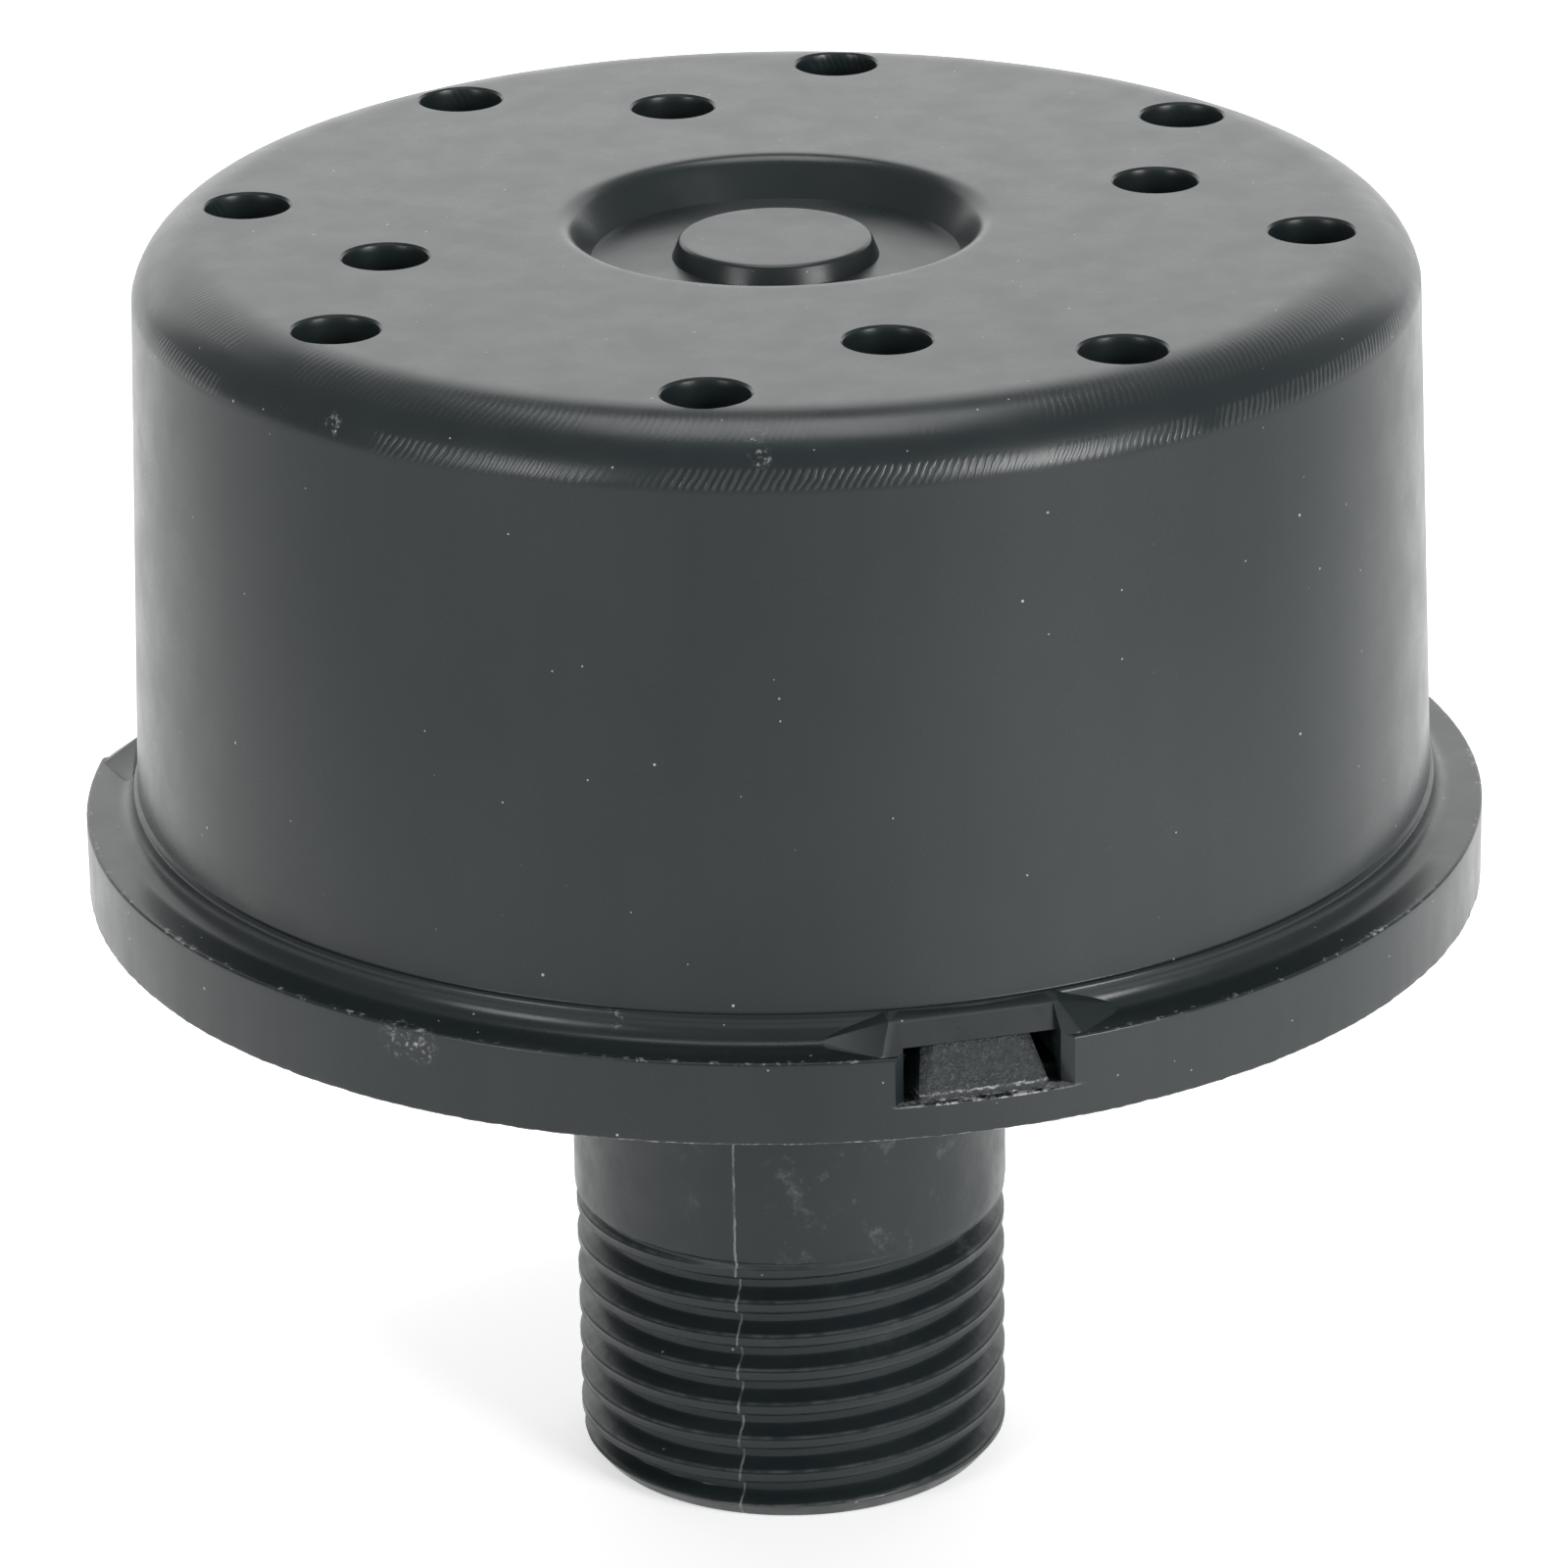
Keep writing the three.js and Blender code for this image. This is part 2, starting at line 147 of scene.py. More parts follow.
def rounded(corners, arc_step=math.radians(15)):
    """An outline of (radius, height) points from (radius, height, corner radius) corners.

    Each rounded corner gets an arc, and a point just before and after it so that shading
    stays flat on the straight stretches.
    """
    support = 0.3
    points = []
    for index, (x, y, corner_radius) in enumerate(corners):
        here = Vector((x, y))
        if corner_radius == 0:
            points.append(here)
            continue
        before = Vector(corners[index - 1][:2]) - here
        after = Vector(corners[(index + 1) % len(corners)][:2]) - here
        half = before.angle(after) / 2
        reach = corner_radius / math.tan(half)
        toward = before.normalized() + after.normalized()
        centre = here + toward.normalized() * corner_radius / math.sin(half)
        if before.length > reach + 3 * support:
            points.append(here + before.normalized() * (reach + support))
        start = here + before.normalized() * reach - centre
        end = here + after.normalized() * reach - centre
        turn = start.angle_signed(end)
        steps = max(1, math.ceil(abs(turn) / arc_step - 0.01))
        for step in range(steps + 1):
            points.append(centre + Matrix.Rotation(-turn * step / steps, 2) @ start)
        if after.length > reach + 3 * support:
            points.append(here + after.normalized() * (reach + support))
    return points


def piece_from(name, mesh, smooth_below=math.radians(18)):
    """A linked object from a bmesh, smooth where its faces meet at less than an angle."""
    bmesh.ops.remove_doubles(mesh, verts=mesh.verts, dist=1e-7)
    bmesh.ops.recalc_face_normals(mesh, faces=mesh.faces)
    data = bpy.data.meshes.new(name)
    mesh.to_mesh(data)
    mesh.free()
    piece = bpy.data.objects.new(name, data)
    bpy.context.scene.collection.objects.link(piece)
    shade(piece, smooth_below)
    return piece


def shade(piece, smooth_below=math.radians(18)):
    """Smooth shading, but for edges where faces meet at more than an angle."""
    piece.data.shade_smooth()
    piece.data.set_sharp_from_angle(angle=smooth_below)


def joined_rings(mesh, rings, closed):
    """Faces between neighbouring rings of equally many vertices."""
    pairs = list(zip(rings, rings[1:]))
    if closed:
        pairs.append((rings[-1], rings[0]))
    for low, high in pairs:
        for column in range(len(low)):
            beside = (column + 1) % len(low)
            corners = [low[column], low[beside], high[beside], high[column]]
            corners = list(dict.fromkeys(corners))
            if len(corners) > 2:
                mesh.faces.new(corners)


def turned(name, outline, columns=COLUMNS, closed=False, smooth_below=math.radians(18)):
    """A piece turned about Z from an outline of (radius, height) points.

    An open outline starts and ends on the axis, and flat discs close it there.
    """
    mesh = bmesh.new()
    angles = [column * FULL_TURN / columns for column in range(columns)]
    rings = [
        [mesh.verts.new(at(radius, angle, height)) for angle in angles]
        for radius, height in outline
        if radius > 0
    ]
    joined_rings(mesh, rings, closed)
    if not closed:
        mesh.faces.new(rings[0])
        mesh.faces.new(rings[-1])
    return piece_from(name, mesh, smooth_below)


def hull(name, corners, angle, edge_radius=0):
    """The convex hull of (radius, across, height) points, turned to an angle round Z.

    With an edge radius, the hull is that of balls round the points, so its edges are round.
    """
    spread = [Vector()]
    if edge_radius:
        steps = 16
        slopes = [FULL_TURN * step / steps for step in range(-steps // 4, steps // 4 + 1)]
        turns = [FULL_TURN * step / steps for step in range(steps)]
        spread = [
            Vector((math.cos(slope) * math.cos(turn), math.cos(slope) * math.sin(turn), math.sin(slope)))
            for slope in slopes
            for turn in turns
        ]
    mesh = bmesh.new()
    for corner in corners:
        for direction in spread:
            mesh.verts.new((Vector(corner) + direction * edge_radius) * MM)
    bmesh.ops.remove_doubles(mesh, verts=mesh.verts, dist=1e-7)
    made = bmesh.ops.convex_hull(mesh, input=mesh.verts)
    inside = [item for item in made["geom_interior"] if isinstance(item, bmesh.types.BMVert)]
    bmesh.ops.delete(mesh, geom=inside, context="VERTS")
    bmesh.ops.transform(mesh, matrix=Matrix.Rotation(angle, 4, "Z"), verts=mesh.verts)
    return piece_from(name, mesh)


def merged(pieces):
    """Several pieces that don't touch, as one."""
    mesh = bmesh.new()
    for piece in pieces:
        mesh.from_mesh(piece.data)
        bpy.data.objects.remove(piece)
    return piece_from("cutters", mesh)


def combine(piece, other, operation):
    """Joins `other` to a piece, or cuts it from the piece, and removes `other`."""
    modifier = piece.modifiers.new("combine", "BOOLEAN")
    modifier.operation = operation
    modifier.object = other
    modifier.solver = "MANIFOLD"
    bpy.context.view_layer.update()
    evaluated = piece.evaluated_get(bpy.context.evaluated_depsgraph_get())
    data = bpy.data.meshes.new_from_object(evaluated)
    piece.modifiers.clear()
    piece.data = data
    bpy.data.objects.remove(other)
    shade(piece)


def finish_piece(piece, body, slot, material, *nodes):
    """Gives a piece its material and says which body and CAD nodes it stands for. Its slot is not used.
    """
    piece.data.materials.clear()
    piece.data.materials.append(material)
    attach(piece, body)
    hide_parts(*nodes)


# ---- cover -----------------------------------------------------------------------------


def crown_arc():
    """The crown's fillet. It meets the wall at a faint edge and the flat crown smoothly."""
    low = math.asin(1 - (CROWN_TOP - WALL_TOP) / CROWN_FILLET)
    centre = WALL_HEAD - CROWN_FILLET * math.cos(low)
    steps = 12
    points = []
    for step in range(steps + 1):
        angle = low + (FULL_TURN / 4 - low) * step / steps
        radius = centre + CROWN_FILLET * math.cos(angle)
        points.append((radius, CROWN_TOP - CROWN_FILLET * (1 - math.sin(angle)), 0))
    return points


def cover_outline():
    """Half of the cover's section, from the axis inside it, round the flange, to the axis on top."""
    inner_head = WALL_HEAD - WALL_THICKNESS
    inner_foot = WALL_FOOT - WALL_THICKNESS
    burr_room = 0.05  # the burrs on the flange stand out as far as the CAD's rim
    flange = SKIRT_RADIUS - burr_room
    edge = 0.12
    fillet = crown_arc()
    flat_start = fillet[-1][0] - 0.4
    return rounded([
        (0, RECESS_UNDERSIDE, 0),
        (RECESS_RIM + 0.8, RECESS_UNDERSIDE, 0.4),
        (RECESS_RIM + 1.6, CROWN_UNDERSIDE, 0.4),
        (inner_head, CROWN_UNDERSIDE, CROWN_FILLET - WALL_THICKNESS),
        (inner_foot, LEDGE, 0.3),
        (SKIRT_INSIDE, LEDGE, edge),
        (SKIRT_INSIDE, SKIRT_BOTTOM, edge),
        (flange, SKIRT_BOTTOM, edge),
        (flange, SKIRT_TOP, 0.15),
        (COLLAR_RADIUS, SKIRT_TOP, 0.9),
        (COLLAR_RADIUS, COLLAR_TOP, 0.3),
        (WALL_FOOT, COLLAR_TOP, 0.08),
        (WALL_HEAD + 0.02, WALL_TOP - 0.3, 0),
        *fillet,
        (flat_start, CROWN_TOP, 0),
        (RECESS_RIM, CROWN_TOP, 0.9),
        (RECESS_FLOOR_RADIUS, RECESS_FLOOR, 0),
        (BOSS_RADIUS, RECESS_FLOOR, 0),
        (BOSS_RADIUS - 0.36, BOSS_TOP, 0.25),
        (0, BOSS_TOP, 0),
    ], math.radians(10))


def hole_cutters(count, circle, first):
    """Round bars that flare at their top, so that each hole has a worn, rounded rim."""
    rim = 0.16
    low = CROWN_UNDERSIDE - 1.5
    cutters = []
    for index in range(count):
        outline = [
            (0, low),
            (HOLE_RADIUS, low),
            (HOLE_RADIUS, CROWN_TOP - 3 * rim),
            (HOLE_RADIUS + 0.1 * rim, CROWN_TOP - 1.6 * rim),
            (HOLE_RADIUS + 0.35 * rim, CROWN_TOP - 0.7 * rim),
            (HOLE_RADIUS + 1.7 * rim, CROWN_TOP + 0.7 * rim),
            (0, CROWN_TOP + 0.7 * rim),
        ]
        cutter = turned("hole", outline, 64)
        cutter.data.transform(
            Matrix.Translation(at(circle, first + index * FULL_TURN / count, 0))
        )
        cutters.append(cutter)
    return cutters


def mirrored(rows):
    """Points on both sides of a window's middle, from rows of (radius, height, half width)."""
    return [(radius, side * half, height) for radius, height, half in rows for side in (-1, 1)]


def window_frame(angle):
    """The raised frame of a snap window before its opening is cut."""
    foot = SKIRT_TOP - 0.6
    edge_radius = 0.3
    rows = [
        (WALL_HEAD, foot, 8.5),
        (SKIRT_RADIUS - 0.75, foot, 4.7),
        (SKIRT_RADIUS - 0.75, SKIRT_TOP - 0.25, 4.6),
        (BROW_RADIUS - 0.2, BROW_TOP - 0.2, 3.9),
        (WALL_HEAD, COLLAR_TOP - 0.15, 3.9),
    ]
    return hull("window_frame", mirrored(rows), angle, edge_radius)


def window_tunnel(angle):
    """The cutter that passes under a window's lip, right through the wall."""
    inner, outer = WALL_FOOT - 2.4, SKIRT_RADIUS + 1
    rows = [
        (radius, height, WINDOW_HALF)
        for radius in (inner, outer)
        for height in (SILL, SKIRT_TOP)
    ]
    return hull("window_tunnel", mirrored(rows), angle)


def window_flare(angle):
    """The cutter that widens a window towards its mouth, open at the top."""
    outer = SKIRT_RADIUS + 1
    wide = WINDOW_HALF + FLARE * (outer - FLARE_START)
    rows = []
    for height in (SILL, COLLAR_TOP + 1):
        rows.append((FLARE_START, height, WINDOW_HALF))
        rows.append((outer, height, wide))
    return hull("window_flare", mirrored(rows), angle)


def window_brow(angle):
    """The cutter over a window's lip, which leaves its sloped brow."""
    outer = LIP_RADIUS + 0.5
    low, high = SKIRT_TOP - 0.3, COLLAR_TOP + 1
    side_view = [
        (LIP_RADIUS, SKIRT_TOP + 0.15),
        (BROW_RADIUS, BROW_TOP - 0.05),
        (BROW_RADIUS, high),
        (outer, high),
        (outer, low),
        (LIP_RADIUS, low),
    ]
    rows = [(radius, height, WINDOW_HALF) for radius, height in side_view]
    return hull("window_brow", mirrored(rows), angle)


def with_burrs(piece):
    """Ragged moulding flash along the two outer edges of the flange."""
    reach = 0.3
    low_burr, high_burr, lift = 0.04, 0.02, 0.04
    for vertex in piece.data.vertices:
        place = vertex.co
        radius = math.hypot(place.x, place.y) / MM
        if radius < SKIRT_RADIUS - 0.4:
            continue
        height = place.z / MM
        low = max(0, 1 - (height - SKIRT_BOTTOM) / reach)
        high = max(0, 1 - abs(height - SKIRT_TOP) / reach)
        ragged = 0.5 * wavering(place, 0.9, 3.1) + 0.9 * wavering(place, 2.6, 7.7)
        outwards = low_burr * low * max(-1, min(1, 1.4 * ragged))
        outwards += high_burr * high * max(-1, min(1, ragged))
        nicked = max(0, 1.3 * wavering(place, 2.3, 11.3) + 0.2)
        vertex.co = Vector((
            place.x * (1 + outwards / radius),
            place.y * (1 + outwards / radius),
            place.z + low * lift * MM * nicked,
        ))


def build_cover():
    """The cup, with a frame added at each snap window before the openings are cut."""
    cover = turned("cover_shell", cover_outline())
    for angle in SNAP_ANGLES:
        combine(cover, window_frame(angle), "UNION")
    holes = hole_cutters(**OUTER_HOLES) + hole_cutters(**INNER_HOLES)
    combine(cover, merged(holes), "DIFFERENCE")
    for cutter in (window_tunnel, window_flare, window_brow):
        combine(cover, merged([cutter(angle) for angle in SNAP_ANGLES]), "DIFFERENCE")
    with_burrs(cover)
    return cover


# ---- base with its threaded spigot -------------------------------------------------------


def groove_depth(fraction):
    """Depth below the crest at a fraction of the pitch from the valley's centre."""
    from_valley = min(fraction, 1 - fraction) * THREAD_PITCH
    root, softness = 0.21, 0.14
    slope = 1 / math.tan(math.radians(27.5))
    depth = THREAD_DEPTH - max(0, from_valley - root) * slope
    if abs(depth) < softness:
        depth = (depth + softness) ** 2 / (4 * softness)
    from_crest = THREAD_PITCH / 2 - from_valley
    hollow = 0.03 * max(0, 1 - (from_crest / 0.17) ** 2)
    return max(0, depth) + hollow


def thread_radius(height, angle):
    """Radius of the spigot's threaded stretch at a height and angle."""
    turns = (height - VALLEY_HEIGHT) / THREAD_PITCH - (angle - VALLEY_ANGLE) / FULL_TURN
    fade_in = min(1, max(0, (height - 0.7) / 0.5))
    fade_out = min(1, max(0, (THREAD_TOP - 0.2 - height) / 0.5))
    crest = min(THREAD_CREST, SPIGOT_END_RADIUS + height * 0.8)
    upper = max(0, (height - THREAD_TOP + 0.8) / 0.8)
    crest += (SPIGOT_RADIUS - THREAD_CREST) * min(1, upper)
    return crest - groove_depth(turns % 1) * min(fade_in, fade_out)


def seam_columns(columns, seams):
    """Angles round the axis, with more of them beside each mould seam."""
    angles = [column * FULL_TURN / columns for column in range(columns)]
    for seam in seams:
        for offset in (-0.9, -0.5, -0.25, 0, 0.25, 0.5, 0.9):
            angles.append((seam + math.radians(offset)) % FULL_TURN)
    return sorted(angles)


def seam_ridge(angle, height):
    """How far the flash at a mould seam stands proud, in millimetres."""
    tallest, half_width = 0.07, 0.007
    proud = 0
    for seam in SEAM_ANGLES:
        wander = 0.006 * noise.noise(Vector((seam, 0, height * 1.7)))
        away = (angle - seam - wander + math.pi) % FULL_TURN - math.pi
        strength = 0.7 + 0.5 * noise.noise(Vector((seam, 5, height * 2.3)))
        proud += tallest * strength * math.exp(-((away / half_width) ** 2))
    return proud


def base_outlines():
    """The base's section below its thread, and the rest of the section above the thread."""
    lower = rounded([
        (BORE_RADIUS, 6, 0),
        (BORE_RADIUS, 0, 0.25),
        (SPIGOT_END_RADIUS, 0, 0.2),
        (SPIGOT_END_RADIUS + 0.3, 0.4, 0),
    ])
    upper = rounded([
        (SPIGOT_RADIUS, THREAD_TOP + 0.3, 0),
        (SPIGOT_RADIUS, SKIRT_BOTTOM, 0.6),
        (DISC_RADIUS, SKIRT_BOTTOM, 0.3),
        (DISC_RADIUS, DISC_TOP, 0.15),
        (SPIGOT_RADIUS, DISC_TOP, 0.5),
        (SPIGOT_RADIUS, base_high.z, 0.25),
        (BORE_RADIUS, base_high.z, 0.25),
        (BORE_RADIUS, 20, 0),
    ])
    upper = [point for point in upper if point.y > THREAD_TOP]
    return lower[:-1], upper


def build_base():
    """The spigot's rows climb with its thread, so the rows close on themselves one pitch up."""
    lower, upper = base_outlines()
    angles = seam_columns(SPIGOT_COLUMNS, SEAM_ANGLES)
    foot = 0.35
    per_pitch = ROWS_PER_PITCH
    turns = math.ceil((THREAD_TOP - foot) / THREAD_PITCH) + 2
    first = VALLEY_HEIGHT - THREAD_PITCH * VALLEY_ANGLE / FULL_TURN
    first -= THREAD_PITCH * math.ceil((first - foot) / THREAD_PITCH + 1)
    mesh = bmesh.new()
    columns = []
    for angle in angles:
        column = [at(radius, angle, height) for radius, height in lower]
        for row in range(turns * per_pitch):
            climb = row / per_pitch + angle / FULL_TURN
            height = min(THREAD_TOP, max(foot, first + THREAD_PITCH * climb))
            radius = thread_radius(height, angle) + seam_ridge(angle, height)
            column.append(at(radius, angle, height))
        for radius, height in upper:
            on_spigot = radius < SPIGOT_RADIUS + 0.4 and height < SKIRT_BOTTOM
            proud = seam_ridge(angle, height) if on_spigot else 0
            column.append(at(radius + proud, angle, height))
        columns.append([mesh.verts.new(place) for place in column])
    thread_start = len(lower)
    thread_end = thread_start + turns * per_pitch - 1
    rows = len(columns[0])

    def across(column, row):
        """The vertex of the next column round that the same row runs on to."""
        if column + 1 < len(columns):
            return columns[column + 1][row]
        climbs = thread_start <= row <= thread_end
        return columns[0][min(row + per_pitch, thread_end) if climbs else row]

    for column in range(len(columns)):
        for row in range(rows):
            above = (row + 1) % rows
            corners = [columns[column][row], across(column, row)]
            corners += [across(column, above), columns[column][above]]
            mesh.faces.new(list(dict.fromkeys(corners)))
    bmesh.ops.remove_doubles(mesh, verts=mesh.verts, dist=1e-6)
    bmesh.ops.dissolve_degenerate(mesh, edges=mesh.edges, dist=1e-7)
    base = piece_from("base_body", mesh, math.radians(30))
    combine(base, merged([hook_slot(angle) for angle in SNAP_ANGLES]), "DIFFERENCE")
    shade(base, math.radians(30))
    return base


def hook_slot(angle):
    """The cutter of the notch in the base's plate that a hook bends into."""
    half = hook_high.x + 0.3
    inner = -hook_high.y - 1.75
    corners = [
        (radius, side * half, height)
        for radius in (inner, DISC_RADIUS + 1)
        for side in (-1, 1)
        for height in (SKIRT_BOTTOM - 1, DISC_TOP + 1)
    ]
    return hull("hook_slot", corners, angle)


# ---- snap hooks --------------------------------------------------------------------------


def hook_section():
    """The hook's side view as (radius, height, half width), from its foot round the tooth."""
    inner, stem, tooth = -hook_high.y, DISC_RADIUS, -hook_low.y
    foot, tip = hook_low.z, SKIRT_TOP - 0.06
    wide, narrow = hook_high.x, hook_high.x - 0.5
    bottom = SILL + 0.03
    land = bottom + 0.35
    front = []
    steps = 16
    for step in range(steps + 1):
        share = step / steps
        radius = tooth + (stem + 0.45 - tooth) * share
        front.append((radius, land + (tip - land) * share, wide + (narrow - wide) * share))
    return [
        (inner, foot, wide),
        (stem, foot, wide),
        (stem, bottom - 0.1, wide),
        (stem + 0.1, bottom, wide),
        ((stem + tooth) / 2, bottom, wide),
        (tooth - 0.1, bottom, wide),
        (tooth, bottom + 0.08, wide),
        *front,
        (stem, tip, narrow),
        (inner + 0.3, tip, narrow),
        (inner, tip - 0.3, narrow),
        (inner, land, wide),
    ]


def build_hook(index):
    """A stem with a tooth. The tooth's sloped face is rough and its sides are bevelled."""
    mesh = bmesh.new()
    section = hook_section()
    stem, tooth = DISC_RADIUS, -hook_low.y
    face_foot = SILL + 0.31
    waviness, ragged_depth = 0.045, 0.03
    face_columns = 27
    columns = [(-1, 1)]  # (place across the hook, 1 on its bevelled sides)
    columns += [(2 * column / (face_columns - 1) - 1, 0) for column in range(face_columns)]
    columns += [(1, 1)]
    rings = []
    for side, bevelled in columns:
        ring = []
        for radius, height, half in section:
            on_tooth = min(1, max(0, (radius - stem) / 0.3))
            up_the_face = min(1, max(0, (height - face_foot) / (SKIRT_TOP - face_foot)))
            inset = (0.12 + 0.42 * up_the_face) * on_tooth
            across = side * (half if bevelled else half - inset)
            back = (0.12 + 0.25 * up_the_face) * on_tooth * bevelled
            place = Vector((across, -(radius - back), height)) * MM
            rough = wavering(place, 1.6, index) + 0.8 * wavering(place, 4.5, index + 9)
            on_face = height > face_foot - 0.3
            if on_face:
                relief = ragged_depth + waviness * max(-1, min(1, rough))
                place.y += relief * MM * on_tooth
            else:
                ragged = max(0, wavering(place, 2.6, index + 20))
                place.z -= ragged_depth * MM * ragged * on_tooth
            ring.append(mesh.verts.new(place))
        rings.append(ring)
    joined_rings(mesh, rings, False)
    mesh.faces.new(rings[0])
    mesh.faces.new(rings[-1])
    turn = Matrix.Rotation(SNAP_ANGLES[index] - FIRST_SNAP + HOOK_PLAY, 4, "Z")
    bmesh.ops.transform(mesh, matrix=turn, verts=mesh.verts)
    return piece_from(f"hook_{index + 1}", mesh, math.radians(35))


# ---- gasket and filter element -----------------------------------------------------------


def build_gasket():
    """A flat rubber ring with a shallow groove in its top face."""
    inner, outer = 11, gasket_high.x
    groove = 0.2
    middle = (inner + outer) / 2
    low, high = gasket_low.z, gasket_high.z
    return turned("gasket_ring", rounded([
        (inner, low, 0.3),
        (outer, low, 0.3),
        (outer, high, 0.3),
        (middle + 1.4, high, 0.1),
        (middle + 1, high - groove, 0.1),
        (middle - 1, high - groove, 0.1),
        (middle - 1.4, high, 0.1),
        (inner, high, 0.3),
    ]), 192, closed=True)


def cap_outline(bore, face, inward, rim_edge, outer):
    """A pressed cap: a sheet with a swaged bead, its outer edge turned over the paper.

    `inward` is +1 where the paper is above the sheet and -1 where it is below.
    """
    sheet = 0.6
    inside = face + inward * sheet
    bead = face + inward * 0.45
    bead_inside = inside + inward * 0.25
    start = [(bore, inside, 0 if bore == 0 else 0.1), (bore, face, 0 if bore == 0 else 0.3)]
    outside = [
        (15.6, face, 0.5),
        (16.4, bead, 0.4),
        (18.6, bead, 0.4),
        (19.4, face, 0.5),
        (outer, face, 0.9),
        (outer, rim_edge, 0.2),
        (outer - sheet, rim_edge, 0.2),
        (outer - sheet, inside, 0.3),
        (19.2, inside, 0.2),
        (18.5, bead_inside, 0.2),
        (16.5, bead_inside, 0.2),
        (15.8, inside, 0.2),
    ]
    return rounded(start + outside)


def build_lower_cap():
    """The open end cap, which sits on the gasket."""
    outline = cap_outline(11, lower_cap_low.z, 1, lower_cap_high.z, lower_cap_high.x)
    return turned("lower_cap", outline, 192, closed=True)


def build_upper_cap():
    """The closed end cap."""
    outline = cap_outline(0, upper_cap_high.z, -1, upper_cap_low.z, upper_cap_high.x)
    return turned("upper_cap", outline[1:] + outline[:1], 192)


def build_core():
    """The perforated tube, with round holes in staggered rows."""
    inner, outer = core_high.x - 0.6, core_high.x
    tube = turned("core_tube", rounded([
        (inner, core_low.z, 0.1),
        (outer, core_low.z, 0.1),
        (outer, core_high.z, 0.1),
        (inner, core_high.z, 0.1),
    ]), 160, closed=True)
    rows, per_row, hole = 5, 12, 1.6
    inside, outside = inner - 2, outer + 2
    bar_outline = [(0, inside), (hole, inside), (hole, outside), (0, outside)]
    spacing = (core_high.z - core_low.z) / rows
    for row in range(rows):
        bars = []
        for index in range(per_row):
            bar = turned("bar", bar_outline, 24)
            angle = (index + row % 2 / 2) * FULL_TURN / per_row
            lying = Matrix.Rotation(FULL_TURN / 4, 4, "Y")
            bar.data.transform(Matrix.Rotation(angle, 4, "Z") @ lying)
            bar.data.transform(Matrix.Translation(at(0, 0, core_low.z + (row + 0.5) * spacing)))
            bars.append(bar)
        combine(tube, merged(bars), "DIFFERENCE")
    return tube


def build_paper():
    """One sheet of paper folded to and fro between two circles, with rounded folds."""
    pleats, per_pleat = 60, 12
    outer, inner = 26, 14.8
    sheet = 0.22  # half of its thickness
    rows = 9
    low, high = core_low.z, core_high.z
    middle_line = []
    for step in range(pleats * per_pleat):
        phase = step / per_pleat
        swing = math.asin(0.97 * math.cos(FULL_TURN * phase)) / math.asin(0.97)
        lean = 0.08 * math.sin(FULL_TURN * phase * 0.5 + 1) * math.sin(FULL_TURN * phase)
        angle = (phase + lean) * FULL_TURN / pleats
        radius = (outer + inner) / 2 + swing * (outer - inner) / 2
        middle_line.append(Vector((radius * math.cos(angle), radius * math.sin(angle))))
    mesh = bmesh.new()
    sides = []
    for side in (-1, 1):
        for row in range(rows):
            height = low + (high - low) * row / (rows - 1)
            ring = []
            for index, here in enumerate(middle_line):
                ahead = middle_line[(index + 1) % len(middle_line)] - middle_line[index - 1]
                across = Vector((-ahead.y, ahead.x)).normalized() * sheet * side
                ring.append(mesh.verts.new(Vector((here.x + across.x, here.y + across.y, height)) * MM))
            sides.append(ring)
    inner_side, outer_side = sides[:rows], sides[rows:]
    joined_rings(mesh, inner_side + outer_side[::-1], closed=True)
    return piece_from("pleated_paper", mesh, math.radians(50))


# ---- material helpers --------------------------------------------------------------------


